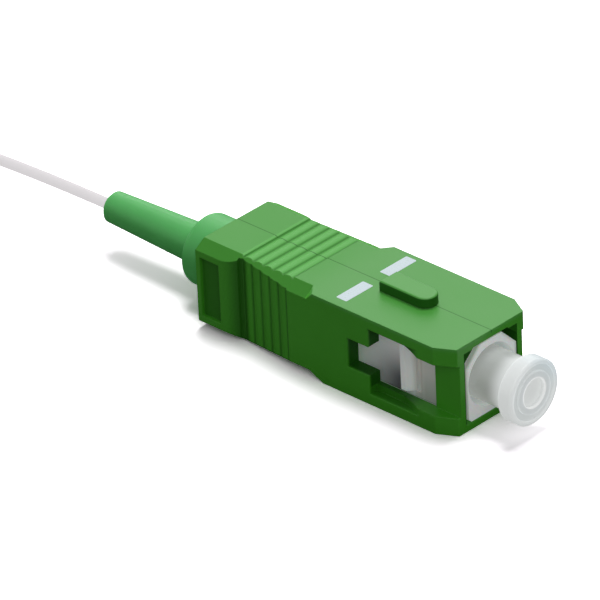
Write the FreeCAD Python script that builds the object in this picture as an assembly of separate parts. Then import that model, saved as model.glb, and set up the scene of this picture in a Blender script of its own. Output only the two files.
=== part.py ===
"""Push-pull fibre plug (SC type, angled end) on a 0.9 mm buffered fibre, with its dust cap.

Frame, in millimetres: the origin is on the ferrule axis in the plane of the outer housing's
front face. +X points out of the mating end, +Z points to the side that carries the key.
Places along X are therefore negative inside the plug and get more negative towards the cord.
"""
import FreeCAD, Part
import os
from math import acos, asin, cos, pi, radians, sin, tan

V = FreeCAD.Vector
X_AXIS = V(1, 0, 0)
ORIGIN = V(0, 0, 0)

# ---------------------------------------------------------------- driving sizes, mm
# outer housing, the sliding grip
housing_length = 25.7
housing_width = 9.0
housing_height = 7.4
front_chamfer_run = 1.63       # along X, at the upright front corners
front_chamfer_width = 0.87     # across Y
edge_radius = 0.12             # moulded radius on the upright corners
roof_wall = 0.5                # above and below the cavity
side_wall = 1.2                # beside the cavity, in the wide front part
front_wall = 2.44              # along X, where the posts stand
tail_length = 2.4              # flat panel at the rear, behind the finger scoop
scoop_run = 1.75               # rounded flank between the panel and the scoop's bottom
scoop_half_width = 3.82
bevel_top_half_width = 3.46    # top face of the rear part
bevel_slope = 0.62             # drop per mm outwards
# the bevels' slanted end faces, ahead of the grip: inner corner, outer corner, foot
upper_bevel_lead = [1.65, 2.5, 1.85]
lower_bevel_lead = [1.8, 3.3, 1.87]

# grip ribs
rib_count = 5
rib_pitch = 1.01
rib_rear_gap = 0.08            # rear valley to the scoop's bottom
grip_lead = 0.22               # the sides lean in from this far ahead of the ribs
rib_valley = 0.13              # depth of a valley
rib_crest_drop = 0.04          # crests lie this much under the face
side_rib_valley = 0.1
rib_fade = 0.35                # rounded lead into the rear valley

# bare label recess in the tail's sides
label_inset = 0.4              # from the rear face
label_length = 1.95
label_low = 1.2                # above the underside
label_high = 6.25
label_depth = 0.33

# side openings for the adapter's hooks
slot_rear = 10.3
slot_height = 2.5
pocket_rear = 8.15
pocket_height = 5.6
pocket_depth = 0.8
ramp_start = 5.45
ramp_end = 3.25
ramp_hollow = 0.07             # the ramp dips this much under its chord
hook_gap_height = 4.4
post_half_width = 3.42         # outer face of the recessed front posts

# front opening
mouth_side_wall = 1.65         # opening's side to the housing's side
mouth_roof_wall = 0.57
mouth_chamfer_width = 1.0
mouth_chamfer_height = 0.9

# polarising key on the top face
key_rear = 10.15
key_front = 5.45
key_width = 1.9
key_height = 0.87
key_edge_radius = 0.15

# fits
slide_gap = 0.1                # between the plug frame and the housing around it
fit_gap = 0.02                 # close fits and glued joints
grip_travel = 1.6
ferrule_travel = 1.6

# plug frame, the inner body
nose_chamfer_top = 1.5
nose_chamfer_low = 0.45
frame_shoulder = 11.6          # the frame is wide behind this place
frame_rear = 18.5
socket_radius = 2.52
socket_depth = 7.4
bulkhead = 0.8
bulkhead_bore_radius = 1.65
frame_bore_radius = 2.5
catch_place = 5.6              # front edge of the catch's crest
catch_length = 0.5
catch_half_width = 3.3
catch_ramp = 0.6
catch_low = -2.1
catch_high = 1.9
groove_length = 0.45           # shallow groove at the foot of the catch
groove_depth = 0.22
lug_length = 0.95
lug_height = 2.4
lug_proud = 0.3
lug_rear = 14.0
lug_slot_gap = 0.05
flange_key_width = 0.8
flange_key_reach = 0.5

# ferrule, flange and guide tube
ferrule_radius = 1.25
ferrule_length = 10.5
ferrule_tip = 1.2              # stands out of the front face
ferrule_tip_radius = 0.85      # where the pre-bevel meets the end face
ferrule_bevel = 0.35
end_angle = 8.0                # degrees, angled physical contact
glass_radius = 0.0625
glass_gap = 0.0015
funnel_length = 1.0
flange_radius = 2.35
flange_length = 1.8
notch_gap = 0.08
stem_radius = 1.45
stem_length = 3.2
guide_radius = 0.8
guide_length = 9.8
guide_inset = 0.4              # behind the ferrule's rear face
buffer_radius = 0.45
buffer_gap = 0.05
strip_inset = 1.3              # the buffer is stripped off up to here behind the ferrule

# spring
wire_radius = 0.225
wire_sides = 5                 # the wire's round section is drawn with flats
coil_radius = 1.8              # middle of the wire
coil_count = 5.0

# stop ring
ring_front = 14.9
ring_radius = 2.48
ring_counterbore_radius = 2.14
spring_seat = 16.4
ring_bore_radius = 1.0
barb_place = 16.3
barb_length = 0.8
barb_proud = 0.22
barb_gap = 0.06
ring_shoulder_radius = 2.95
ring_shoulder_length = 0.8
nipple_radius = 1.9
nipple_end = 24.2

# boot
boot_collar_radius = 2.88
collar_end = 28.65
shoulder_radius = 0.45         # rounds the collar's rear edge
boot_foot_radius = 1.6         # where the fillet behind the collar meets the taper
boot_tip_radius = 1.28
boot_end = 38.9
boot_tip_chamfer = 0.22
boot_front_chamfer = 0.3
boot_taper_end = 25.2          # the inner bore narrows between the nipple and here

# dust cap
cap_rear = -5.4
cap_tube_radius = 2.1
cap_head_start = 2.9
cap_head_length = 1.35
cap_head_radius = 2.66
cap_bore_gap = 0.02
cap_bore_end = 3.0
cap_lead_in = 0.3
cap_edge = 0.15
cap_ring_outer = 2.28
cap_ring_inner = 1.75
cap_ring_depth = 0.22
cap_dimple_radius = 1.2
cap_dimple_depth = 0.35

# cord, its hank and the tie
cord_start = 36.8              # the cord's own solid begins in the boot's bore
hank_runs = 15.0
hank_fold_radius = 2.75        # innermost fold, at the middle of the cord
hank_columns = 3
hank_layers = 6
turn_gap = 0.02
hank_front = 72.5
tie_width = 2.5
tie_thick = 0.35

# ---------------------------------------------------------------- sizes that follow
half_width = housing_width / 2
half_height = housing_height / 2
panel_front = housing_length - tail_length
scoop_place = panel_front - scoop_run
rib_front = scoop_place - rib_rear_gap - rib_count * rib_pitch
grip_start = rib_front - grip_lead
label_rear = housing_length - label_inset
label_front = label_rear - label_length
cavity_half_width = half_width - side_wall
cavity_half_height = half_height - roof_wall
mouth_half_width = half_width - mouth_side_wall
mouth_half_height = half_height - mouth_roof_wall
frame_half_width = cavity_half_width - slide_gap
frame_half_height = mouth_half_height - slide_gap
nose_half_width = mouth_half_width - slide_gap
flange_front = socket_depth + bulkhead
flange_rear = flange_front + flange_length
stem_end = flange_rear + stem_length
ferrule_rear = ferrule_length - ferrule_tip
guide_start = ferrule_rear + guide_inset
guide_end = guide_start + guide_length
strip_place = ferrule_rear + strip_inset
glass_bore_radius = glass_radius + glass_gap
guide_bore_radius = buffer_radius + buffer_gap
shoulder_end = frame_rear + ring_shoulder_length
cord_radius = buffer_radius
boot_bore_radius = cord_radius + 0.1
turn_pitch = 2 * cord_radius + turn_gap
hank_half_width = hank_fold_radius + (hank_columns - 1) * turn_pitch + cord_radius
hank_height = hank_layers * turn_pitch
floor_z = -half_height
hank_low = floor_z + tie_thick
far = 20.0                     # longer than any cut needs to be


# ---------------------------------------------------------------- small helpers
def box(x0, x1, y0, y1, z0, z1):
    return Part.makeBox(x1 - x0, y1 - y0, z1 - z0, V(x0, y0, z0))


def prism(points, push):
    """A closed polygon of 3-D points, pushed along a vector."""
    return Part.Face(Part.makePolygon(points + [points[0]])).extrude(push)


def plan_prism(points, z0, z1):
    return prism([V(x, y, z0) for x, y in points], V(0, 0, z1 - z0))


def section_prism(points, x0, x1):
    return prism([V(x0, y, z) for y, z in points], V(x1 - x0, 0, 0))


def both_sides(shape):
    return [shape, shape.mirror(ORIGIN, V(0, 1, 0))]


def rod(x0, x1, radius):
    return Part.makeCylinder(radius, x1 - x0, V(x0, 0, 0), X_AXIS)


def turned(outline):
    """Revolves an outline of (x, radius) points, or ready edges, about the X axis."""
    edges = []
    for start, end in zip(outline, outline[1:] + outline[:1]):
        edges.append(Part.makeLine(V(start[0], 0, start[1]), V(end[0], 0, end[1])))
    return Part.Face(Part.Wire(edges)).revolve(ORIGIN, X_AXIS, 360)


def chamfered_rectangle(half_y, half_z, top_y, top_z, low_y, low_z):
    """Section outline with its upper and lower corners cut off."""
    right = [(half_y - low_y, -half_z), (half_y, -half_z + low_z)]
    right += [(half_y, half_z - top_z), (half_y - top_y, half_z)]
    left = [(-y, z) for y, z in reversed(right)]
    return right + left


# ---------------------------------------------------------------- outer housing
def side_line(x):
    """Half width of the leaning side, between grip_start and the bottom of the scoop."""
    share = (-x - grip_start) / (scoop_place - grip_start)
    return half_width + share * (scoop_half_width - half_width)


def housing_plan():
    """Plan of the housing: chamfered front, straight sides, finger scoop and tail panel."""
    drop = half_width - scoop_half_width
    flank_radius = (scoop_run ** 2 + drop ** 2) / (2 * drop)
    half_turn = asin(scoop_run / flank_radius) / 2

    def side(sign):
        def at(back, half):
            return V(-back, sign * half, 0)
        front = at(0, half_width - front_chamfer_width)
        corner = at(front_chamfer_run, half_width)
        lean = at(grip_start, half_width)
        low = at(scoop_place, scoop_half_width)
        mid = at(panel_front - flank_radius * sin(half_turn),
                 half_width - flank_radius * (1 - cos(half_turn)))
        panel = at(panel_front, half_width)
        tail = at(housing_length, half_width)
        edges = [Part.makeLine(front, corner), Part.makeLine(corner, lean)]
        edges += [Part.makeLine(lean, low), Part.Arc(low, mid, panel).toShape()]
        edges.append(Part.makeLine(panel, tail))
        return edges, front, tail

    right, right_front, right_tail = side(1)
    left, left_front, left_tail = side(-1)
    across = [Part.makeLine(right_tail, left_tail), Part.makeLine(left_front, right_front)]
    wire = Part.Wire(Part.__sortEdges__(right + left + across))
    return Part.Face(wire)


def housing_blank():
    face = housing_plan()
    face.translate(V(0, 0, -half_height))
    blank = face.extrude(V(0, 0, housing_height))
    upright = []
    for edge in blank.Edges:
        first, last = edge.Vertexes[0].Point, edge.Vertexes[-1].Point
        if abs(abs(first.z - last.z) - housing_height) < 1e-6 and first.x > -grip_start:
            upright.append(edge)
    return blank.makeFillet(edge_radius, upright)


def bevel_cutter(lead):
    """Takes the upper corner off the rear part and stops at a slanted end face."""
    inner_place, outer_place, foot_place = [grip_start - ahead for ahead in lead]
    reach = 2.0
    low = half_height - bevel_slope * reach
    section = [(bevel_top_half_width, half_height), (bevel_top_half_width + reach, low)]
    section += [(bevel_top_half_width + reach, half_height + 1), (bevel_top_half_width, half_height + 1)]
    wedge = section_prism(section, -housing_length - 1, -outer_place + 1)
    inner = V(-inner_place, bevel_top_half_width, half_height)
    outer = V(-outer_place, half_width, half_height)
    foot_drop = bevel_slope * (half_width - bevel_top_half_width)
    foot = V(-foot_place, half_width, half_height - foot_drop)
    normal = (outer - inner).cross(foot - inner)
    normal.normalize()
    if normal.x < 0:
        normal = normal * -1
    block = Part.makeBox(far, far, far, V(-far / 2, -far / 2, 0))
    block.Placement = FreeCAD.Placement(inner, FreeCAD.Rotation(V(0, 0, 1), normal)) * block.Placement
    return wedge.cut(block)


def rib_outline(top, valley, place):
    """Cutter outline over a row of pillow-shaped ribs.

    top(x) is the height of the face, and place(x, height) gives the 3-D point.
    """
    rear = -(rib_front + rib_count * rib_pitch)
    lead = rear - rib_fade
    above = 1.0
    start = place(lead, top(lead))
    edges = []
    mid_x = rear - rib_fade * 0.4
    mid = place(mid_x, top(mid_x) - valley * 0.36)
    point = place(rear, top(rear) - valley)
    edges.append(Part.Arc(start, mid, point).toShape())
    for k in range(rib_count):
        x = rear + k * rib_pitch
        crest = place(x + rib_pitch / 2, top(x + rib_pitch / 2) - rib_crest_drop)
        ahead = place(x + rib_pitch, top(x + rib_pitch) - valley)
        edges.append(Part.Arc(point, crest, ahead).toShape())
        point = ahead
    front_up = place(-rib_front, top(-rib_front) + above)
    rear_up = place(lead, top(lead) + above)
    edges.append(Part.makeLine(point, front_up))
    edges.append(Part.makeLine(front_up, rear_up))
    edges.append(Part.makeLine(rear_up, start))
    return Part.Face(Part.Wire(edges))


def rib_cutters():
    """Ribs across the top and up both sides."""
    def top_place(x, height):
        return V(x, -half_width - 1, height)

    def side_place(x, height):
        return V(x, height, -half_height - 1)

    roof = rib_outline(lambda x: half_height, rib_valley, top_place)
    roof = roof.extrude(V(0, housing_width + 2, 0))
    side = rib_outline(side_line, side_rib_valley, side_place)
    side = side.extrude(V(0, 0, housing_height + 2))
    return [roof] + both_sides(side)


def release_pocket():
    """Pocket beside the hook gap, whose floor curves up to the outside as a release ramp."""
    low = -pocket_height / 2
    rail = half_width - pocket_depth
    foot, top = V(-ramp_start, rail, low), V(-ramp_end, half_width, low)
    middle = (foot + top) / 2 - V(0, ramp_hollow, 0)
    corners = [top, V(-ramp_end, far, low), V(-pocket_rear, far, low), V(-pocket_rear, rail, low), foot]
    edges = [Part.makeLine(a, b) for a, b in zip(corners, corners[1:])]
    edges.append(Part.Arc(foot, middle, top).toShape())
    return Part.Face(Part.Wire(edges)).extrude(V(0, 0, pocket_height))


def hook_openings():
    """One side: narrow slot, hook gap, release pocket and the front channel."""
    inside = cavity_half_width - 0.5
    slot = box(-slot_rear, -pocket_rear, inside, far, -slot_height / 2, slot_height / 2)
    gap_half = hook_gap_height / 2
    gap = box(-pocket_rear, -front_wall, inside, far, -gap_half, gap_half)
    channel = box(-ramp_end, 1, post_half_width, far, -gap_half, gap_half)
    return [slot, gap, channel, release_pocket()]


def key():
    """Straight bar with a half-round front end and rounded upper edges."""
    half = key_width / 2
    turn = -key_front - half
    corners = [V(-key_rear, -half, 0), V(turn, -half, 0), V(turn, half, 0), V(-key_rear, half, 0)]
    nose = Part.Arc(corners[1], V(-key_front, 0, 0), corners[2]).toShape()
    edges = [Part.makeLine(corners[0], corners[1]), nose]
    edges += [Part.makeLine(corners[2], corners[3]), Part.makeLine(corners[3], corners[0])]
    sunk = roof_wall / 2
    face = Part.Face(Part.Wire(edges))
    face.translate(V(0, 0, half_height - sunk))
    bar = face.extrude(V(0, 0, key_height + sunk))
    top_z = half_height + key_height
    rim = [e for e in bar.Edges if all(abs(v.Z - top_z) < 1e-6 for v in e.Vertexes)]
    return bar.makeFillet(key_edge_radius, rim)


def outer_housing():
    body = housing_blank()
    upper = bevel_cutter(upper_bevel_lead)
    lower = bevel_cutter(lower_bevel_lead).mirror(ORIGIN, V(0, 0, 1))
    body = body.cut(both_sides(upper) + both_sides(lower))
    body = body.cut(rib_cutters())
    depth = half_width - label_depth
    label = box(-label_rear, -label_front, depth, far, floor_z + label_low, floor_z + label_high)
    body = body.cut(both_sides(label))
    body = body.fuse(key())
    cavity = box(-housing_length - 1, -front_wall, -cavity_half_width, cavity_half_width,
                 -cavity_half_height, cavity_half_height)
    mouth_section = chamfered_rectangle(mouth_half_width, mouth_half_height,
                                        mouth_chamfer_width, mouth_chamfer_height, 0.1, 0.1)
    mouth = section_prism(mouth_section, -front_wall - 0.5, 1)
    lug_slot_half = cavity_half_width + lug_proud
    lug_slot_rear = -lug_rear - lug_slot_gap
    lug_slot_front = lug_slot_rear + lug_length + grip_travel + 2 * lug_slot_gap
    lug_half_height = lug_height / 2 + slide_gap
    lug_slot = box(lug_slot_rear, lug_slot_front, -lug_slot_half, lug_slot_half,
                   -lug_half_height, lug_half_height)
    tools = [cavity, mouth, lug_slot]
    for opening in hook_openings():
        tools += both_sides(opening)
    return body.cut(tools).removeSplitter()


# ---------------------------------------------------------------- plug frame
def catch():
    """Ridge on the nose's flank that the adapter's hook drops behind."""
    foot = nose_half_width
    points = [(-catch_place - catch_length, foot - 0.5), (-catch_place - catch_length, catch_half_width)]
    points += [(-catch_place, catch_half_width), (-catch_place + catch_ramp, foot)]
    points += [(-catch_place + catch_ramp, foot - 0.5)]
    return plan_prism(points, catch_low, catch_high)


def snap_lug():
    """Low wedge that keeps the housing on the frame and limits its travel."""
    base = frame_half_width - 0.3
    top = frame_half_width + lug_proud
    points = [(-lug_rear, base), (-lug_rear, top), (-lug_rear + lug_length / 2, top)]
    points += [(-lug_rear + lug_length, frame_half_width), (-lug_rear + lug_length, base)]
    return plan_prism(points, -lug_height / 2, lug_height / 2)


def plug_frame():
    nose = chamfered_rectangle(nose_half_width, frame_half_height, nose_chamfer_top,
                               nose_chamfer_top, nose_chamfer_low, nose_chamfer_low)
    rear = chamfered_rectangle(frame_half_width, frame_half_height, nose_chamfer_top,
                               nose_chamfer_top, nose_chamfer_low, nose_chamfer_low)
    body = section_prism(nose, -frame_shoulder, 0)
    body = body.fuse([section_prism(rear, -frame_rear, -frame_shoulder)]
                     + both_sides(catch()) + both_sides(snap_lug()))
    foot = -catch_place + catch_ramp
    groove = box(foot, foot + groove_length, nose_half_width - groove_depth, far, catch_low, catch_high)
    socket = rod(-socket_depth, 1, socket_radius)
    neck = rod(-flange_front - 1, -socket_depth + 1, bulkhead_bore_radius)
    bore = rod(-frame_rear - 1, -flange_front, frame_bore_radius)
    barb_room = turned([(-barb_place - barb_length - barb_gap, 0),
                        (-barb_place - barb_length - barb_gap, ring_radius + barb_proud + barb_gap),
                        (-barb_place + barb_gap, ring_radius + barb_proud + barb_gap),
                        (-barb_place + barb_gap, 0)])
    barb_window = box(-barb_place - barb_length - 0.2, -barb_place + 0.2, -far, far, -1.1, 1.1)
    body = body.cut(both_sides(groove) + [socket, neck, bore, barb_room, barb_window])
    key_rib = box(-flange_rear - ferrule_travel, -flange_front, -flange_key_width / 2, flange_key_width / 2,
                  frame_bore_radius - flange_key_reach, frame_bore_radius + 0.1)
    return body.fuse(key_rib).removeSplitter()


# ---------------------------------------------------------------- ferrule group
def end_plane_cutter():
    """Half space beyond the angled end face."""
    block = Part.makeBox(far, far, far, V(-far / 2, -far / 2, 0))
    normal = V(cos(radians(end_angle)), 0, sin(radians(end_angle)))
    turn = FreeCAD.Rotation(V(0, 0, 1), normal)
    block.Placement = FreeCAD.Placement(V(ferrule_tip, 0, 0), turn) * block.Placement
    return block


def ferrule():
    extra = ferrule_tip_radius * tan(radians(end_angle))
    front = ferrule_tip + extra
    body = turned([(-ferrule_rear, 0), (-ferrule_rear, ferrule_radius),
                   (front - ferrule_bevel, ferrule_radius), (front, ferrule_tip_radius), (front, 0)])
    funnel = turned([(-ferrule_rear - 0.1, 0), (-ferrule_rear - 0.1, buffer_radius),
                     (-ferrule_rear, buffer_radius),
                     (-ferrule_rear + funnel_length, glass_bore_radius), (front + 1, glass_bore_radius),
                     (front + 1, 0)])
    return body.cut([funnel, end_plane_cutter()])


def ferrule_flange():
    """Keyed collar that carries the ferrule, with a stem for the spring."""
    step = ferrule_radius + fit_gap
    guide_hole = guide_radius + fit_gap
    body = turned([(-stem_end, guide_hole), (-stem_end, stem_radius), (-flange_rear, stem_radius),
                   (-flange_rear, flange_radius), (-flange_front, flange_radius), (-flange_front, step),
                   (-ferrule_rear, step), (-ferrule_rear - 0.1, buffer_radius + buffer_gap),
                   (-guide_start, buffer_radius + buffer_gap), (-guide_start, guide_hole)])
    notch_half = flange_key_width / 2 + notch_gap
    notch_floor = frame_bore_radius - flange_key_reach - notch_gap
    notches = []
    for k in range(4):
        notch = box(-flange_rear - 0.1, -flange_front + 0.1, -notch_half, notch_half, notch_floor, far)
        notch.rotate(ORIGIN, X_AXIS, 90 * k)
        notches.append(notch)
    return body.cut(notches)


def guide_tube():
    return rod(-guide_end, -guide_start, guide_radius).cut(rod(-guide_end - 1, 0, guide_bore_radius))


def glass_fibre():
    """Stripped glass in the ferrule's bore, ground off level with the end face."""
    return rod(-strip_place, ferrule_tip + 1, glass_radius).cut(end_plane_cutter())


def inner_fibre():
    """The buffered fibre inside the plug, which bows a little when the ferrule is pushed back."""
    return rod(-cord_start, -strip_place, buffer_radius)


# ---------------------------------------------------------------- spring and stop ring
def spring():
    """Compression spring between the flange and the stop ring, along X."""
    rear = -spring_seat + wire_radius
    length = spring_seat - flange_rear - 2 * wire_radius
    helix = Part.makeHelix(length / coil_count, length, coil_radius)
    helix.rotate(ORIGIN, V(0, 1, 0), 90)
    helix.translate(V(rear, 0, 0))
    first = helix.Edges[0]
    start = first.valueAt(first.FirstParameter)
    ahead = first.tangentAt(first.FirstParameter).normalize()
    outwards = V(0, start.y, start.z).normalize()
    across = ahead.cross(outwards)
    corners = []
    for k in range(wire_sides):
        turn = 2 * pi * (k + 0.5) / wire_sides
        corners.append(start + (outwards * cos(turn) + across * sin(turn)) * wire_radius)
    section = Part.makePolygon(corners + [corners[0]])
    return Part.Wire(helix.Edges).makePipeShell([section], True, True)


def stop_ring():
    """Turned rear body: snaps into the frame, seats the spring and carries the boot."""
    barb = ring_radius + barb_proud
    outline = [(-nipple_end, ring_bore_radius), (-nipple_end, nipple_radius)]
    outline += [(-shoulder_end, nipple_radius), (-shoulder_end, ring_shoulder_radius),
                (-frame_rear, ring_shoulder_radius), (-frame_rear, ring_radius),
                (-barb_place - barb_length, ring_radius), (-barb_place - barb_length, barb),
                (-barb_place - barb_length / 2, barb), (-barb_place, ring_radius),
                (-ring_front, ring_radius), (-ring_front, ring_counterbore_radius),
                (-spring_seat, ring_counterbore_radius), (-spring_seat, ring_bore_radius)]
    return turned(outline)


# ---------------------------------------------------------------- boot
def boot():
    """Soft strain relief: collar, rounded shoulder and long taper, on the stop ring's nipple."""
    front = -shoulder_end - fit_gap
    face = -collar_end - shoulder_radius
    rim = boot_collar_radius - shoulder_radius
    fillet = rim - boot_foot_radius
    foot = face - fillet
    bulge = cos(pi / 4)

    def at(x, r):
        return V(x, 0, r)

    shoulder = Part.Arc(at(-collar_end, boot_collar_radius),
                        at(-collar_end - shoulder_radius * bulge, rim + shoulder_radius * bulge),
                        at(face, rim)).toBSpline().toShape()
    cove = Part.Arc(at(face, rim),
                    at(foot + fillet * bulge, rim - fillet * bulge),
                    at(foot, boot_foot_radius)).toBSpline().toShape()
    nipple_room = nipple_radius + fit_gap
    outline = [(foot, boot_foot_radius), (-boot_end + boot_tip_chamfer, boot_tip_radius),
               (-boot_end, boot_tip_radius - boot_tip_chamfer), (-boot_end, boot_bore_radius),
               (-boot_taper_end, boot_bore_radius), (-nipple_end - fit_gap, ring_bore_radius),
               (-nipple_end - fit_gap, nipple_room), (front, nipple_room),
               (front, boot_collar_radius - boot_front_chamfer),
               (front - boot_front_chamfer, boot_collar_radius), (-collar_end, boot_collar_radius)]
    points = [at(x, r) for x, r in outline]
    edges = [Part.makeLine(a, b) for a, b in zip(points, points[1:])]
    return Part.Face(Part.Wire([shoulder, cove] + edges)).revolve(ORIGIN, X_AXIS, 360)


# ---------------------------------------------------------------- dust cap
def dust_cap():
    """Soft sleeve over the ferrule with a stepped, dimpled head."""
    bore = ferrule_radius + cap_bore_gap
    head_end = cap_head_start + cap_head_length
    ring_floor = head_end - cap_ring_depth
    return turned([
        (cap_bore_end, 0), (cap_bore_end, bore), (cap_rear + cap_lead_in, bore),
        (cap_rear, bore + cap_lead_in), (cap_rear, cap_tube_radius - cap_edge),
        (cap_rear + cap_edge, cap_tube_radius), (cap_head_start, cap_tube_radius),
        (cap_head_start, cap_head_radius - cap_edge), (cap_head_start + cap_edge, cap_head_radius),
        (head_end - cap_edge, cap_head_radius), (head_end, cap_head_radius - cap_edge),
        (head_end, cap_ring_outer), (ring_floor, cap_ring_outer), (ring_floor, cap_ring_inner),
        (head_end, cap_ring_inner), (head_end, cap_dimple_radius),
        (head_end - cap_dimple_depth, cap_dimple_radius), (head_end - cap_dimple_depth, 0)])


# ---------------------------------------------------------------- cord, hank and tie
def cord_route():
    """Points chosen by hand: out of the boot, gently down, then along the surface to the hank."""
    rest = floor_z + cord_radius + 0.02
    lowest_turn = hank_low + turn_pitch / 2
    return [V(-cord_start, 0, 0), V(-49.0, 0, 0.14 * rest), V(-61.5, 0, 0.56 * rest),
            V(-68.5, 0, rest), V(-hank_front + fit_gap, 0, lowest_turn)]


def rounded_path(points, name):
    """Straight runs joined by tangent arcs, and a printed list of the arcs' radii."""
    edges, radii = [], []
    start = points[0]
    for before, corner, after in zip(points, points[1:], points[2:]):
        towards = (before - corner).normalize()
        away = (after - corner).normalize()
        half_turn = (pi - acos(max(-1.0, min(1.0, towards.dot(away))))) / 2
        cut = 0.45 * min((before - corner).Length, (after - corner).Length)
        radius = cut / tan(half_turn)
        radii.append(round(radius, 1))
        first, last = corner + towards * cut, corner + away * cut
        inward = (towards + away).normalize()
        sagitta = radius / cos(half_turn) - radius
        edges.append(Part.LineSegment(start, first).toShape())
        edges.append(Part.Arc(first, corner + inward * sagitta, last).toShape())
        start = last
    edges.append(Part.LineSegment(start, points[-1]).toShape())
    print(name, "arc radii:", radii)
    return Part.Wire(edges)


def fibre_cord():
    points = cord_route()
    path = rounded_path(points, "fibre_cord")
    ahead = points[1] - points[0]
    section = Part.Wire([Part.Circle(points[0], ahead, cord_radius).toShape()])
    tube = path.makePipeShell([section], True, False)
    print("fibre_cord volume %.2f, section x length %.2f, length %.1f"
          % (tube.Volume, pi * cord_radius ** 2 * path.Length, path.Length))
    return tube


def stadium(x_front, runs, half, z0, height):
    """Upright block with straight sides and half-round ends."""
    front, rear = x_front - half, x_front - half - runs
    edges = [Part.makeLine(V(front, half, z0), V(rear, half, z0)),
             Part.Arc(V(rear, half, z0), V(rear - half, 0, z0), V(rear, -half, z0)).toShape(),
             Part.makeLine(V(rear, -half, z0), V(front, -half, z0)),
             Part.Arc(V(front, -half, z0), V(front + half, 0, z0), V(front, half, z0)).toShape()]
    return Part.Face(Part.Wire(edges)).extrude(V(0, 0, height))


def cord_hank():
    """Outer shape of the put-away length, folded into a hank."""
    return stadium(-hank_front, hank_runs, hank_half_width, hank_low, hank_height)


def hank_tie():
    """Flat band around the middle of the hank."""
    middle = -hank_front - hank_half_width - hank_runs / 2
    inner_y = hank_half_width + fit_gap
    top = hank_low + hank_height + fit_gap
    outer = box(middle - tie_width / 2, middle + tie_width / 2, -inner_y - tie_thick, inner_y + tie_thick,
                hank_low - tie_thick, top + tie_thick)
    corners = [e for e in outer.Edges if abs(e.Vertexes[0].X - e.Vertexes[1].X) > tie_width / 2]
    outer = outer.makeFillet(2 * tie_thick, corners)
    return outer.cut(box(middle - tie_width, middle + tie_width, -inner_y, inner_y, hank_low, top))


# ---------------------------------------------------------------- output
NODES = {
    "outer_housing": outer_housing, "plug_frame": plug_frame, "ferrule": ferrule,
    "ferrule_flange": ferrule_flange, "guide_tube": guide_tube, "glass_fibre": glass_fibre,
    "inner_fibre": inner_fibre, "spring": spring, "stop_ring": stop_ring, "boot": boot, "dust_cap": dust_cap,
    "fibre_cord": fibre_cord, "cord_hank": cord_hank, "hank_tie": hank_tie,
}

os.makedirs("parts", exist_ok=True)
for node_name, make in NODES.items():
    shape = make()
    if not shape.isValid() or len(shape.Solids) != 1:
        raise ValueError(node_name + " is not one valid solid")
    shape.Solids[0].exportStep("parts/" + node_name + ".step")
    print("%-16s %8.2f mm3  %3d faces" % (node_name, shape.Volume, len(shape.Faces)))
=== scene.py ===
import bpy
from math import cos, sin, radians
from mathutils import Matrix, Vector


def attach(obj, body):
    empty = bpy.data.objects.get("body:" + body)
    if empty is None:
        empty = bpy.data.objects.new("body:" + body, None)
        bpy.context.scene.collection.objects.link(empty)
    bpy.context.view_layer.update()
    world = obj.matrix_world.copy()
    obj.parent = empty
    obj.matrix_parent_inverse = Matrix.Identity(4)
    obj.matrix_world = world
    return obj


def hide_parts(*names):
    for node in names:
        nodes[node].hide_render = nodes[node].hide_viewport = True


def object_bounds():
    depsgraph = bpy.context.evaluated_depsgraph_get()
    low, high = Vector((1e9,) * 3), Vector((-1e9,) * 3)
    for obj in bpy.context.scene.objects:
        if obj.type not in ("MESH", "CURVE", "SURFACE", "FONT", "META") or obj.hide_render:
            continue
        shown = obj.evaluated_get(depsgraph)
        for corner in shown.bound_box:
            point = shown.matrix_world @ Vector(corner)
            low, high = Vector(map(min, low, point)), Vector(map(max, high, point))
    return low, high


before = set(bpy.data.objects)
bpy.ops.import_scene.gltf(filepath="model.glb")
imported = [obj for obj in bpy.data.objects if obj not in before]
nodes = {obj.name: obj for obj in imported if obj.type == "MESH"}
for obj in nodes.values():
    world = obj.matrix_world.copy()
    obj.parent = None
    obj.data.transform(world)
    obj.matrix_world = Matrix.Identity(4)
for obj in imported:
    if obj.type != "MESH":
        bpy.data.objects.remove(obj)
cadLow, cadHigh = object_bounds()
mm = 0.001
print("frame loaded:", len(nodes), "nodes")

scene = bpy.context.scene
scene.view_settings.view_transform = "Standard"

shot = {
    "azimuth": 44.54,      # degrees round from the plug's side
    "elevation": 30.57,
    "roll": -2.62,
    "distance": 623.8,     # mm, as is the target
    "lens": 499.5,
    "sensor": 36,
    "target": (-19.37, 0, -0.985),
}


def aimCamera():
    az, el, roll = (radians(shot[k]) for k in ("azimuth", "elevation", "roll"))
    back = Vector((sin(az) * cos(el), -cos(az) * cos(el), sin(el)))
    right = Vector((cos(az), sin(az), 0))
    up = back.cross(right)
    tiltedRight = cos(roll) * right + sin(roll) * up
    tiltedUp = cos(roll) * up - sin(roll) * right
    data = bpy.data.cameras.new("viewCamera")
    data.lens = shot["lens"]
    data.sensor_width = shot["sensor"]
    data.clip_start = 0.01
    data.clip_end = 10
    camera = bpy.data.objects.new("viewCamera", data)
    scene.collection.objects.link(camera)
    place = Vector(shot["target"]) * mm + back * shot["distance"] * mm
    turn = Matrix((tiltedRight, tiltedUp, back)).transposed()
    camera.matrix_world = Matrix.Translation(place) @ turn.to_4x4()
    scene.camera = camera


aimCamera()
print("camera aimed")


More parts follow.
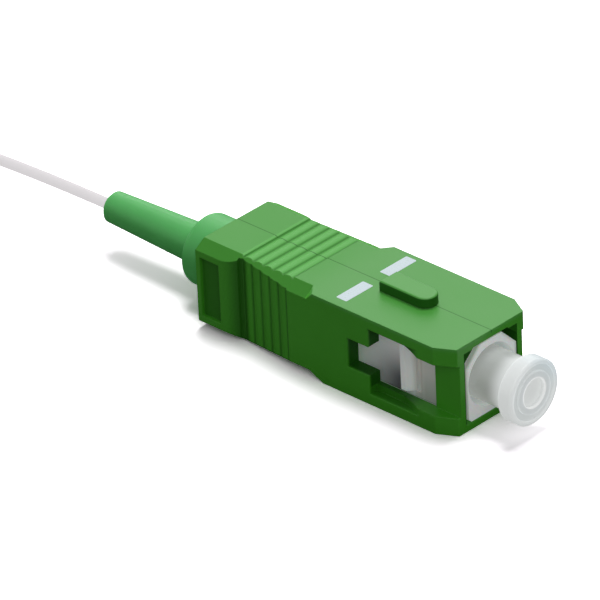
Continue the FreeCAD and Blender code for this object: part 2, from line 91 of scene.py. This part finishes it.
# a Wire is one socket, and an expression on wires adds Math nodes
class Wire:
    def __init__(self, work, socket):
        self.work = work
        self.socket = socket

    def math(self, kind, *values):
        return self.work.node("ShaderNodeMath", {"operation": kind}, dict(enumerate(values)))

    def __add__(self, other):
        return self.math("ADD", self, other)

    __radd__ = __add__

    def __sub__(self, other):
        return self.math("SUBTRACT", self, other)

    def __rsub__(self, other):
        return self.math("SUBTRACT", other, self)

    def __mul__(self, other):
        return self.math("MULTIPLY", self, other)

    __rmul__ = __mul__

    def __truediv__(self, other):
        return self.math("DIVIDE", self, other)

    def __rtruediv__(self, other):
        return self.math("DIVIDE", other, self)

    def __pow__(self, other):
        return self.math("POWER", self, other)

    def __gt__(self, other):
        return self.math("GREATER_THAN", self, other)

    def __lt__(self, other):
        return self.math("LESS_THAN", self, other)

    def __abs__(self):
        return self.math("ABSOLUTE", self)

    def within(self, low, high):  # 0 at low, 1 at high, smooth between
        sockets = {"Value": self, "From Min": low, "From Max": high}
        return self.work.node("ShaderNodeMapRange", {"interpolation_type": "SMOOTHSTEP"}, sockets)

    def between(self, low, high, soft=0.04):  # 1 from low to high, 0 beyond the soft margins
        return self.within(low - soft, low) * (1 - self.within(high, high + soft))

    def spread(self, low, high):  # from low where this is 0 to high where it is 1
        return low + (high - low) * self


def highest(wires):
    top, *rest = wires
    for wire in rest:
        top = wire.math("MAXIMUM", top, wire)
    return top


# a tree of nodes: node() makes any node, its settings first, then values or links
class NodeWork:
    def __init__(self, tree):
        self.tree = tree
        tree.nodes.clear()

    def node(self, kind, settings=None, sockets=None, out=0):
        made = self.tree.nodes.new(kind)
        for key, value in (settings or {}).items():
            setattr(made, key, value)
        for key, value in (sockets or {}).items():
            if isinstance(value, Wire):
                self.tree.links.new(value.socket, made.inputs[key])
            elif made.inputs[key].type == "RGBA":
                made.inputs[key].default_value = (*value, 1)
            else:
                made.inputs[key].default_value = value
        if made.outputs:
            return Wire(self, made.outputs[out])

    def mixShaders(self, share, first, second):
        return self.node("ShaderNodeMixShader", None, {0: share, 1: first, 2: second})


# one material, on Object coordinates
class Finish(NodeWork):
    def __init__(self, name):
        self.material = bpy.data.materials.new(name)
        self.material.use_nodes = True
        super().__init__(self.material.node_tree)

    def place(self):
        return self.node("ShaderNodeTexCoord", out="Object")

    def axes(self):  # x, y and z in mm
        sockets = {"Vector": self.place(), "Scale": 1 / mm}
        place = self.node("ShaderNodeVectorMath", {"operation": "SCALE"}, sockets)
        return [self.node("ShaderNodeSeparateXYZ", None, {0: place}, out=k) for k in range(3)]

    def noise(self, size, detail=2.0, rough=0.5):  # size in mm
        sockets = {"Vector": self.place(), "Scale": 1 / (size * mm), "Detail": detail, "Roughness": rough}
        return self.node("ShaderNodeTexNoise", None, sockets)

    def blend(self, share, low, high):
        return self.node("ShaderNodeMix", {"data_type": "RGBA"}, {"Factor": share, 6: low, 7: high}, out=2)

    def tint(self, tone, masks, tints):  # each tint over the last, as strong as it says, where its mask is
        for name, (strength, tint) in tints.items():
            tone = self.blend(strength * masks[name], tone, tint)
        return tone

    def edge(self, radius):  # edges look rounded by this many mm
        return self.node("ShaderNodeBevel", {"samples": 6}, {"Radius": radius * mm})

    def bump(self, height, strength, depth, softEdge=0.0, under=None):  # depth in mm
        sockets = {"Height": height, "Strength": strength, "Distance": depth * mm}
        if under or softEdge:
            sockets["Normal"] = under or self.edge(softEdge)
        return self.node("ShaderNodeBump", None, sockets)

    def grain(self, size, strength, depth, softEdge=0.0, detail=2.0):  # moulded texture, in mm
        return self.bump(self.noise(size, detail), strength, depth, softEdge)

    def close(self, shader):
        self.node("ShaderNodeOutputMaterial", None, {"Surface": shader})
        return self.material

    def surface(self, fixed, varied):
        return self.close(self.node("ShaderNodeBsdfPrincipled", None, {**fixed, **varied}))


housingLook = {
    "green": (0.056, 0.365, 0.016),
    "deepGreen": (0.049, 0.335, 0.012),
    "paintedSheenGreen": (0.080, 0.38, 0.056),      # painted sheen on the upper side
    "paintedSheenShare": 0.8,
    "shade": (0.016, 0.13, 0.006),
    "deepShade": (0.010, 0.085, 0.004),     # matt, deep in the hollows
    "sillShade": 0.45,                      # of a window's shade, on its sill
    "roughness": (0.38, 0.46),              # least and most, here and below
    "gripRoughness": 0.10,                  # what the grip adds
    "specular": 0.45,
    "cloud": (3.0, 3.0),                    # size in mm, detail
    "grain": (0.05, 3.0, 0.6),              # size in mm, detail, roughness
    "grainHeight": 0.25,                    # beside the parting line's depth of 1
    "relief": 0.03,                         # mm
    "reliefStrength": 0.25,
    "ribRelief": 0.10,                      # mm
    "softEdge": 0.11,                       # mm
    # where little light comes: how much painted shade, and how much of it deep and matt
    "hollows": {
        "window": (0.88, 0.70),
        "label": (0.50, 0.35),
        "bevel": (0.40, 0.25),
        "scoop": (0.70, 0.30),
        "keySide": (0.90, 0.45),
        "keyTop": (0.30, 0),
        "mouth": (0.90, 0.90),
        "valley": (0.50, 0.25),
        "gripFront": (0.60, 0),
        "parting": (0.80, 0.40),
    },
    # in mm: x along the plug, side and height from its axis
    # a pair is where something sets in and where it is full, or its two ends
    # after two ends, a third number is how soft they are
    "places": {
        "upper": (3.3, 3.65),
        "top": (3.5, 3.72),
        "partingLine": 0.12,             # along the top, a little off the middle
        "partingEdge": (0.014, 0.07),
        "bevelSlope": 0.62,              # a long bevel's rise to its run
        "bevelStart": 5.82,
        "bevelFront": -14.45,
        "bevelTop": 3.69,
        "ribLength": (-21.57, -16.40),
        "ribRear": -21.47,               # the rear valley
        "ribPitch": 1.01,
        "valleyDepth": (0.0, 0.7),       # a share of a rib's height
        "gripFront": (-16.47, -16.37, 0.05),    # the line where the ribs end
        "gripFade": (-17.0, -13.0),
        "windowRear": (-10.36, -10.31),
        "windowFront": (-5.4, -3.2),
        "windowHeight": (2.8, 2.86),
        "windowDepth": (4.2, 4.49),
        "windowSill": (-2.3, -2.15),
        "labelLength": (-25.28, -23.37),
        "labelHeight": (-2.48, 2.53),
        "labelDepth": (4.2, 4.3),
        "scoopLength": (-23.1, -21.4, 0.5),
        "scoopDepth": (4.0, 4.6),
        "scoopFloor": 3.7,
        "keySide": (3.72, 4.46, 0.03),
        "keyTop": 4.4,
        "mouthWidth": (2.87, 2.93),
        "mouthWall": 3.6,
        "mouthDepth": (-6.0, -2.5),
        "mouthHeight": (2.95, 3.05),
    },
}


def housingMasks(x, y, z):
    at = housingLook["places"]
    side = abs(y)
    height = abs(z)
    slant = height + at["bevelSlope"] * side       # the same all along a long bevel
    flat = slant < at["bevelStart"]

    # ribs are rounded, with narrow valleys between them
    phase = (x - at["ribRear"]) / at["ribPitch"]
    part = phase.math("FRACT", phase)
    ribs = x.between(*at["ribLength"]) * flat
    pillow = 4 * part * (1 - part) * ribs

    # the sill of a window stands in more light than its walls
    sill = z.within(*at["windowSill"]).spread(housingLook["sillShade"], 1)
    window = x.within(*at["windowRear"]) * (1 - x.within(*at["windowFront"])) * sill
    window = window * (1 - height.within(*at["windowHeight"])) * (1 - side.within(*at["windowDepth"]))
    mouth = x.within(*at["mouthDepth"]) * (1 - height.within(*at["mouthHeight"]))
    mouth = mouth * (1 - side.within(*at["mouthWidth"])) * (side < at["mouthWall"])
    label = x.between(*at["labelLength"]) * (1 - side.within(*at["labelDepth"]))
    scoop = x.between(*at["scoopLength"]) * (1 - side.within(*at["scoopDepth"]))
    parting = 1 - abs(y - at["partingLine"]).within(*at["partingEdge"])
    return {
        "pillow": pillow,
        "window": window,
        "label": label * z.between(*at["labelHeight"]),
        "bevel": (slant > at["bevelStart"]) * (z < at["bevelTop"]) * (x < at["bevelFront"]) * (y < 0),
        "scoop": scoop * (side > at["scoopFloor"]) * flat,
        "keySide": z.between(*at["keySide"]),
        "keyTop": z > at["keyTop"],
        "mouth": mouth,
        "valley": (1 - pillow.within(*at["valleyDepth"])) * ribs,
        "gripFront": x.between(*at["gripFront"]) * flat,
        "parting": parting * z.between(*at["top"]),
    }


def housingPlastic():
    f = Finish("greenHousing")
    look = housingLook
    at = look["places"]
    x, y, z = f.axes()
    cloud = f.noise(*look["cloud"])
    grain = f.noise(*look["grain"])
    masks = housingMasks(x, y, z)
    # painted shade in the hollows, part of it a dark matt shader mixed in
    shade = highest([dark * masks[name] for name, (dark, matt) in look["hollows"].items()])
    hollow = highest([matt * masks[name] for name, (dark, matt) in look["hollows"].items() if matt])
    # painted sheen: paler on the upper side, except on the shaded bevel
    upper = z.within(*at["upper"]) * (1 - masks["bevel"])
    tone = f.blend(cloud, look["deepGreen"], look["green"])
    tone = f.blend(look["paintedSheenShare"] * upper, tone, look["paintedSheenGreen"])
    grip = 1 - x.within(*at["gripFade"])
    ribbed = f.bump(masks["pillow"], 1.0, look["ribRelief"], look["softEdge"])
    height = look["grainHeight"] * grain - masks["parting"]
    plastic = f.node("ShaderNodeBsdfPrincipled", None, {
        "Base Color": f.blend(shade, tone, look["shade"]),
        "Roughness": cloud.spread(*look["roughness"]) + look["gripRoughness"] * grip,
        "Normal": f.bump(height, look["reliefStrength"], look["relief"], under=ribbed),
        "Specular IOR Level": look["specular"],
    })
    mattShade = f.node("ShaderNodeBsdfDiffuse", None, {"Color": look["deepShade"]})
    return f.close(f.mixShaders(hollow, plastic, mattShade))


# the frame lets a little light through, and a painted glow stands in for more: its open front is brighter
# than its flanks behind the windows, which are painted in shade
frameLook = {
    "tones": ((0.80, 0.81, 0.83), (0.86, 0.87, 0.88)),
    "roughness": (0.42, 0.50),
    "cloud": 2.0,                            # mm
    "grain": (0.06, 0.15, 0.02, 0.06),       # size, strength, depth and soft edge, in mm
    "fixed": {
        "Specular IOR Level": 0.4,
        "Subsurface Weight": 0.3,
        "Subsurface Scale": 0.0008,
        "Emission Strength": 1.0,
    },
    # painted shade, and by the opening's edges a painted green reflection of the housing: where it lies,
    # how strong it is, and its tone
    "paintedShades": {
        "flank": (0.9, (0.03, 0.03, 0.04)),
        "groove": (0.5, (0.28, 0.24, 0.18)),
        "low": (0.75, (0.12, 0.11, 0.10)),
        "nose": (0.35, (0.36, 0.36, 0.24)),
        "edge": (0.5, (0.46, 0.56, 0.46)),
    },
    # painted light: a faint glow all over, almost none on the flanks, a highlight on the catch's crest,
    # more on the open front, green by the opening's edges
    "glow": (0.075, 0.085, 0.08),
    "paintedGlows": {
        "flank": (1, (0.01, 0.01, 0.012)),
        "crest": (1, (0.11, 0.12, 0.11)),
        "front": (1, (0.15, 0.16, 0.15)),
        "edge": (0.7, (0.06, 0.085, 0.06)),
    },
    # in mm, as on the housing
    "places": {
        "outside": 2.6,                # half width, past which a place is on the flank
        "flankLength": (-10.5, -6.3),
        "flankFront": -6.05,
        "flankHeight": (-1.9, 1.6),
        "grooveLength": (-5.0, -4.55, 0.3),
        "grooveSide": 2.525,
        "lowLength": (-5.0, -4.0),
        "lowHeight": (-2.6, 1.4),
        "noseRear": (-5.0, -4.5),
        "noseFront": (-2.5, -2.0),
        "crestLength": (-6.1, -5.0),
        "crestSide": 2.76,
        "front": (-1.2, -0.1),
        "edgeSide": (2.45, 2.75),      # close to the opening's walls
        "edgeCorner": (3.9, 4.28),     # side and height together
        "edgeFront": (-0.4, -0.2),
    },
}


def framePlastic():
    f = Finish("whiteFrame")
    look = frameLook
    at = look["places"]
    x, y, z = f.axes()
    side = abs(y)
    outside = side > at["outside"]
    cloud = f.noise(look["cloud"])
    flank = outside * (1 - z.within(*at["flankHeight"])) * x.within(*at["flankLength"])
    edge = highest([side.within(*at["edgeSide"]), (side + z).within(*at["edgeCorner"])])
    masks = {
        "flank": flank * (x < at["flankFront"]),
        "groove": x.between(*at["grooveLength"]) * (side > at["grooveSide"]),
        "low": outside * x.within(*at["lowLength"]) * (1 - z.within(*at["lowHeight"])),
        "nose": outside * x.within(*at["noseRear"]) * (1 - x.within(*at["noseFront"])),
        "crest": x.between(*at["crestLength"]) * (side > at["crestSide"]),
        "front": x.within(*at["front"]),
        "edge": edge * x.within(*at["edgeFront"]),
    }
    return f.surface(look["fixed"], {
        "Base Color": f.tint(f.blend(cloud, *look["tones"]), masks, look["paintedShades"]),
        "Roughness": cloud.spread(*look["roughness"]),
        "Normal": f.grain(*look["grain"]),
        "Emission Color": f.tint(look["glow"], masks, look["paintedGlows"]),
    })


# the rubber lets some light through, and a faint painted glow stands in for it
bootLook = {
    "tones": ((0.070, 0.385, 0.092), (0.088, 0.43, 0.115)),
    "paintedGlows": ((0.003, 0.026, 0.003), (0.004, 0.032, 0.004)),
    "roughness": (0.41, 0.51),
    "cloud": (1.6, 3.0),                     # size in mm, detail
    "grain": (0.07, 0.2, 0.02, 0.08, 3.0),   # and its detail
    "fixed": {
        "Specular IOR Level": 0.5,
        "Subsurface Weight": 0.6,
        "Subsurface Radius": (0.5, 1.0, 0.5),
        "Subsurface Scale": 0.0012,
        "Emission Strength": 1.0,
    },
}


def plasticWithPaintedGlow(name, look):
    f = Finish(name)
    cloud = f.noise(*look["cloud"])
    return f.surface(look["fixed"], {
        "Base Color": f.blend(cloud, *look["tones"]),
        "Roughness": cloud.spread(*look["roughness"]),
        "Normal": f.grain(*look["grain"]),
        "Emission Color": f.blend(cloud, *look["paintedGlows"]),
    })


# the cap is milky: its head stands in the open and gathers light from all round, its tube less, and a
# painted glow stands in for that light
capLook = {
    "tones": ((0.26, 0.27, 0.28), (0.29, 0.31, 0.31)),
    "roughness": (0.28, 0.36),
    "cloud": 1.2,                            # mm
    "grain": (0.3, 0.1, 0.03, 0.12),         # size, strength, depth and soft edge, in mm
    "fixed": {
        "Subsurface Weight": 1.0,
        "Subsurface Radius": (1.0, 1.0, 1.1),
        "Subsurface Scale": 0.0012,
        "Emission Strength": 1.0,
        "IOR": 1.45,
    },
    # painted light: a glow all over, strong on the head, dimmer over a ring on its face, bright round the
    # dimple
    "glow": (0.18, 0.19, 0.17),
    "paintedGlows": {
        "head": (1, (0.50, 0.515, 0.505)),
        "ring": (0.5, (0.36, 0.39, 0.39)),
        "paintedReflection": (0.6, (0.39, 0.46, 0.48)),      # painted bluish reflection on the far upper side
        "dimple": (0.6, (0.62, 0.62, 0.61)),
    },
    # in mm, along the plug and out from its axis
    "places": {
        "headRear": (1.2, 3.0),
        "ringRadius": (1.3, 2.2, 0.12),
        "ringFront": (3.7, 3.8),
        "reflectionSide": (1.2, 3.6),
        "reflectionFront": (3.0, 3.4),
        "dimpleRadius": (1.17, 1.25, 0.05),
        "dimpleFront": (4.0, 4.12),
    },
}


def capPlastic():
    f = Finish("milkyCap")
    look = capLook
    at = look["places"]
    x, y, z = f.axes()
    cloud = f.noise(look["cloud"])
    radius = (y * y + z * z) ** 0.5
    masks = {
        "head": x.within(*at["headRear"]),
        "ring": radius.between(*at["ringRadius"]) * x.within(*at["ringFront"]),
        "paintedReflection": (y + z).within(*at["reflectionSide"]) * x.within(*at["reflectionFront"]),
        "dimple": radius.between(*at["dimpleRadius"]) * x.within(*at["dimpleFront"]),
    }
    return f.surface(look["fixed"], {
        "Base Color": f.blend(cloud, *look["tones"]),
        "Roughness": cloud.spread(*look["roughness"]),
        "Normal": f.grain(*look["grain"]),
        "Emission Color": f.tint(look["glow"], masks, look["paintedGlows"]),
    })


ferruleLook = {
    "tones": ((0.82, 0.80, 0.76), (0.87, 0.86, 0.83)),
    "roughness": (0.12, 0.18),
    "cloud": 0.8,          # mm
    "softEdge": 0.05,      # mm
    "fixed": {"Subsurface Weight": 0.1, "Subsurface Scale": 0.0005},
}


def ceramicFinish():
    f = Finish("zirconia")
    look = ferruleLook
    cloud = f.noise(look["cloud"])
    return f.surface(look["fixed"], {
        "Base Color": f.blend(cloud, *look["tones"]),
        "Roughness": cloud.spread(*look["roughness"]),
        "Normal": f.edge(look["softEdge"]),
    })


glassLook = {
    "tones": ((0.90, 0.95, 1.0), (0.95, 0.98, 1.0)),
    "roughness": (0.03, 0.06),
    "cloud": 0.5,          # mm
    "fixed": {"Transmission Weight": 0.9, "IOR": 1.46},
}


def clearGlass():
    f = Finish("clearGlass")
    look = glassLook
    cloud = f.noise(look["cloud"])
    return f.surface(look["fixed"], {
        "Base Color": f.blend(cloud, *look["tones"]),
        "Roughness": cloud.spread(*look["roughness"]),
    })


metalLook = {
    # material, tone and how many turning marks there are to a mm
    "pieces": {
        "ferrule_flange": ("turnedNickel", (0.62, 0.60, 0.56), 12),
        "stop_ring": ("turnedRing", (0.60, 0.58, 0.54), 9),
        "spring": ("springWire", (0.55, 0.55, 0.56), 3),
    },
    "shade": 0.85,                  # of the tone, in the marks
    "roughness": (0.24, 0.40),
    "relief": (0.15, 0.01, 0.05),   # strength, then depth and soft edge in mm
    "fixed": {"Metallic": 1.0},
}


def turnedMetal(name, tone, marks):
    f = Finish(name)
    look = metalLook
    x, y, z = f.axes()
    sockets = {"W": x, "Scale": marks, "Detail": 2.0}
    rings = f.node("ShaderNodeTexNoise", {"noise_dimensions": "1D"}, sockets)
    return f.surface(look["fixed"], {
        "Base Color": f.blend(rings, tuple(c * look["shade"] for c in tone), tone),
        "Roughness": rings.spread(*look["roughness"]),
        "Normal": f.bump(rings, *look["relief"]),
    })


plasticLook = {
    # material, tone, roughness, then grain and soft edge in mm
    "pieces": {
        "guide_tube": ("tubeLiner", (0.80, 0.80, 0.80), 0.5, 0.1, 0.03),
        "inner_fibre": ("fibreBufferInside", (0.80, 0.80, 0.76), 0.4, 0.08, 0),
        "hank_tie": ("tieBand", (0.70, 0.70, 0.69), 0.55, 0.1, 0.05),
    },
    "shade": 0.93,                  # of the tone, in the darker clouds
    "cloudSize": 12,                # grains across a cloud
    "patchiness": 0.04,             # of the roughness, up and down
    "relief": (0.12, 0.01),         # strength, then depth in mm
}


def plainPlastic(name, tone, roughness, grain, softEdge):
    f = Finish(name)
    look = plasticLook
    cloud = f.noise(grain * look["cloudSize"])
    return f.surface({}, {
        "Base Color": f.blend(cloud, tuple(c * look["shade"] for c in tone), tone),
        "Roughness": cloud.spread(roughness - look["patchiness"], roughness + look["patchiness"]),
        "Normal": f.grain(grain, *look["relief"], softEdge),
    })


finishes = {
    "outer_housing": housingPlastic(),
    "plug_frame": framePlastic(),
    "boot": plasticWithPaintedGlow("greenBoot", bootLook),
    "dust_cap": capPlastic(),
    "ferrule": ceramicFinish(),
    "glass_fibre": clearGlass(),
}
finishes.update((name, turnedMetal(*piece)) for name, piece in metalLook["pieces"].items())
finishes.update((name, plainPlastic(*piece)) for name, piece in plasticLook["pieces"].items())
for name, finish in finishes.items():
    mesh = nodes[name].data
    mesh.materials.clear()
    mesh.materials.append(finish)
print("materials on", len(finishes), "nodes")

# light goes through the buffer, and a painted glow over a dark tone makes it look nearly white all round
bufferLook = {
    "tones": ((0.12, 0.115, 0.12), (0.14, 0.13, 0.135)),
    "paintedGlows": ((0.61, 0.59, 0.60), (0.63, 0.61, 0.62)),
    "roughness": (0.40, 0.48),
    "cloud": (1.0,),
    "grain": (0.08, 0.1, 0.01),
    "fixed": {
        "Specular IOR Level": 0.08,
        "Subsurface Weight": 1.0,
        "Subsurface Radius": (1.0, 0.97, 0.98),
        "Subsurface Scale": 0.0008,
        "Emission Strength": 1.0,
    },
}

# the fibre: out of the boot, down to the surface, then its hank, all in mm
cordPlan = {
    "radius": 0.45,
    "length": 1000,
    "route": [(-36.8, 0, 0), (-49.0, 0, 0), (-61.5, 0.1, -1.5), (-68.8, 1.1, -3.23),
              (-73.2, 3.4, -3.1)],
    "folds": (-77.54, -92.54),     # where the half turns at both ends are centred
    "foldPoints": 6,               # in each half turn
    "lanes": (4.59, 3.67, 2.75),   # half widths of the loops, from the outside
    "outward": (0.55, 0.9),        # where a straight run has its points, as shares of it
    "homeward": (0.6, 0.25),
    "end": 0.5,
    "lowest": -2.89,
    "layers": 6,
    "pitch": 0.92,
}


def foldPoints(centre, lane, height, start):
    step = 180 / cordPlan["foldPoints"]
    outside = lane / cos(radians(step / 2))    # control points stand outside a round fold
    turns = [radians(start + step * (k + 0.5)) for k in range(cordPlan["foldPoints"])]
    return [(centre + outside * cos(turn), outside * sin(turn), height) for turn in turns]


def hankPoints():
    front, rear = cordPlan["folds"]
    run = front - rear
    points = []
    for layer in range(cordPlan["layers"]):
        height = cordPlan["lowest"] + layer * cordPlan["pitch"]
        lanes = cordPlan["lanes"] if layer % 2 == 0 else cordPlan["lanes"][::-1]
        for lane in lanes:
            points += [(front - share * run, lane, height) for share in cordPlan["outward"]]
            points += foldPoints(rear, lane, height, 90)
            points += [(front - share * run, -lane, height) for share in cordPlan["homeward"]]
            points += foldPoints(front, lane, height, -90)
    points.append((front - cordPlan["end"] * run, lane, height))
    return points


def layCord():
    points = cordPlan["route"] + hankPoints()
    data = bpy.data.curves.new("fibreCord", "CURVE")
    data.dimensions = "3D"
    spline = data.splines.new("NURBS")
    spline.points.add(len(points) - 1)
    for point, spot in zip(spline.points, points):
        point.co = (*(Vector(spot) * mm), 1)
    spline.order_u = 3
    spline.use_endpoint_u = True
    spline.resolution_u = 8
    data.resolution_u = 8
    data.bevel_depth = cordPlan["radius"] * mm
    data.bevel_resolution = 4
    data.use_fill_caps = True
    data.materials.append(plasticWithPaintedGlow("fibreBuffer", bufferLook))
    cord = bpy.data.objects.new("fibreCord", data)
    scene.collection.objects.link(cord)
    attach(cord, "core")
    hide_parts("fibre_cord", "cord_hank")


layCord()
print("fibre laid")

# two pale marks printed on the top, which show how far the plug is home
markPlan = {
    # in mm, the inputs of their node tree
    "sizes": {
        "Length": 2.95,        # across the housing
        "Width": 1.05,         # along it
        "Spacing": 4.75,       # between the middles of the two
        "Corner": 0.12,
        "Thickness": 0.022,
    },
    "place": (-11.52, 0.2, 3.69),
    "tones": ((0.44, 0.58, 0.52), (0.58, 0.67, 0.72)),    # thin and full ink
    "full": (0.25, 0.5),           # where in the grain the ink begins to fill and is full
    "roughness": (0.5, 0.6),
    "grain": (0.12, 3.0),          # size in mm, detail
    "relief": (0.1, 0.01),         # strength, then depth in mm
}


def inkFinish():
    f = Finish("whiteInk")
    look = markPlan
    grain = f.noise(*look["grain"])
    return f.surface({}, {
        "Base Color": f.blend(grain.within(*look["full"]), *look["tones"]),
        "Roughness": grain.spread(*look["roughness"]),
        "Normal": f.bump(grain, *look["relief"]),
    })


def markTree():
    # a row of two rounded bars, each filled and raised a little off the surface
    tree = bpy.data.node_groups.new("printedMarks", "GeometryNodeTree")
    for label in markPlan["sizes"]:
        tree.interface.new_socket(label, in_out="INPUT", socket_type="NodeSocketFloat")
    tree.interface.new_socket("Ink", in_out="INPUT", socket_type="NodeSocketMaterial")
    tree.interface.new_socket("Geometry", in_out="OUTPUT", socket_type="NodeSocketGeometry")
    g = NodeWork(tree)
    size = {label: g.node("NodeGroupInput", out=label) for label in markPlan["sizes"]}
    ink = g.node("NodeGroupInput", out="Ink")
    sides = {"Width": size["Width"], "Height": size["Length"]}
    bar = g.node("GeometryNodeCurvePrimitiveQuadrilateral", None, sides)
    corners = {"Curve": bar, "Radius": size["Corner"], "Count": 4}
    rounded = g.node("GeometryNodeFilletCurve", {"mode": "POLY"}, corners)
    filled = g.node("GeometryNodeFillCurve", None, {"Curve": rounded})
    upwards = {"Mesh": filled, "Offset Scale": size["Thickness"], "Individual": False}
    raised = g.node("GeometryNodeExtrudeMesh", None, upwards, out="Mesh")
    start = g.node("ShaderNodeCombineXYZ", None, {"Y": size["Spacing"] * -0.5})
    step = g.node("ShaderNodeCombineXYZ", None, {"Y": size["Spacing"]})
    row = g.node("GeometryNodeMeshLine", None, {"Count": 2, "Start Location": start, "Offset": step})
    copies = g.node("GeometryNodeInstanceOnPoints", None, {"Points": row, "Instance": raised})
    real = g.node("GeometryNodeRealizeInstances", None, {0: copies})
    inked = g.node("GeometryNodeSetMaterial", None, {"Geometry": real, "Material": ink})
    g.node("NodeGroupOutput", None, {0: inked})
    return tree


def printMarks():
    tree = markTree()
    ink = inkFinish()
    carrier = bpy.data.objects.new("markCarrier", bpy.data.meshes.new("markCarrier"))
    scene.collection.objects.link(carrier)
    made = carrier.modifiers.new("marks", "NODES")
    made.node_group = tree
    for item in tree.interface.items_tree:
        if item.in_out == "INPUT":
            made[item.identifier] = ink if item.name == "Ink" else markPlan["sizes"][item.name] * mm
    view = bpy.context.evaluated_depsgraph_get()
    view.update()
    mesh = bpy.data.meshes.new_from_object(carrier.evaluated_get(view), depsgraph=view)
    carrier.modifiers.remove(made)
    bpy.data.objects.remove(carrier)
    mesh.transform(Matrix.Translation(Vector(markPlan["place"]) * mm))
    marks = bpy.data.objects.new("printedMarks", mesh)
    scene.collection.objects.link(marks)
    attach(marks, "grip")


printMarks()
print("marks printed")

# floor, lamps and sky, in metres and watts
studio = {
    "floorSize": 3.0,
    "floorSeen": (1.80, 1.73, 1.80),      # for the camera, above 1 so that open floor is white
    "floorTone": (0.25, 0.25, 0.25),      # lights the object from below
    "floorMirrored": (0.05, 0.05, 0.05),  # as glossy surfaces see it
    "sky": 0.30,
    "skyMirrored": 0.8,
    "skySeen": 1.0,
    "aim": (-0.018, 0, 0),
    # place, size and power of each lamp
    "lamps": {
        "keyLamp": ((-0.06, 0.10, 0.435), 0.20, 1.38),
        "backLamp": ((-0.26, 0.32, 0.24), 0.30, 0.42),
        "fillLamp": ((0.30, -0.25, 0.32), 0.30, 0.35),
    },
}


def lightPaths(work):
    names = ("Is Camera Ray", "Is Glossy Ray", "Is Transmission Ray")
    return [work.node("ShaderNodeLightPath", out=name) for name in names]


def layFloor():
    size = studio["floorSize"]
    low = cadLow.z
    mesh = bpy.data.meshes.new("studioFloor")
    corners = [(-size, -size, low), (size, -size, low), (size, size, low), (-size, size, low)]
    mesh.from_pydata(corners, [], [(0, 1, 2, 3)])
    f = Finish("paleFloor")
    camera, glossy, through = lightPaths(f)
    plain, seen, mirrored = [f.node("ShaderNodeBsdfDiffuse", None, {"Color": studio[k]})
                             for k in ("floorTone", "floorSeen", "floorMirrored")]
    shown = f.mixShaders(highest([camera, through]), plain, seen)
    mesh.materials.append(f.close(f.mixShaders(glossy, shown, mirrored)))
    floor = bpy.data.objects.new("studioFloor", mesh)
    scene.collection.objects.link(floor)


def hangLamp(name, place, size, power):
    data = bpy.data.lights.new(name, "AREA")
    data.shape = "SQUARE"
    data.size = size
    data.energy = power
    lamp = bpy.data.objects.new(name, data)
    scene.collection.objects.link(lamp)
    lamp.location = place
    aim = Vector(studio["aim"]) - Vector(place)
    lamp.rotation_euler = aim.to_track_quat("-Z", "Y").to_euler()


def paintSky():
    world = bpy.data.worlds.new("studioSky")
    scene.world = world
    world.use_nodes = True
    w = NodeWork(world.node_tree)
    camera, glossy, through = lightPaths(w)
    plain, mirrored, seen = [w.node("ShaderNodeBackground", None, {"Strength": studio[k]})
                             for k in ("sky", "skyMirrored", "skySeen")]
    sky = w.mixShaders(glossy, plain, mirrored)
    sky = w.mixShaders(highest([camera, through]), sky, seen)
    w.node("ShaderNodeOutputWorld", None, {"Surface": sky})


layFloor()
for name, (place, size, power) in studio["lamps"].items():
    hangLamp(name, place, size, power)
paintSky()
print("studio lit")
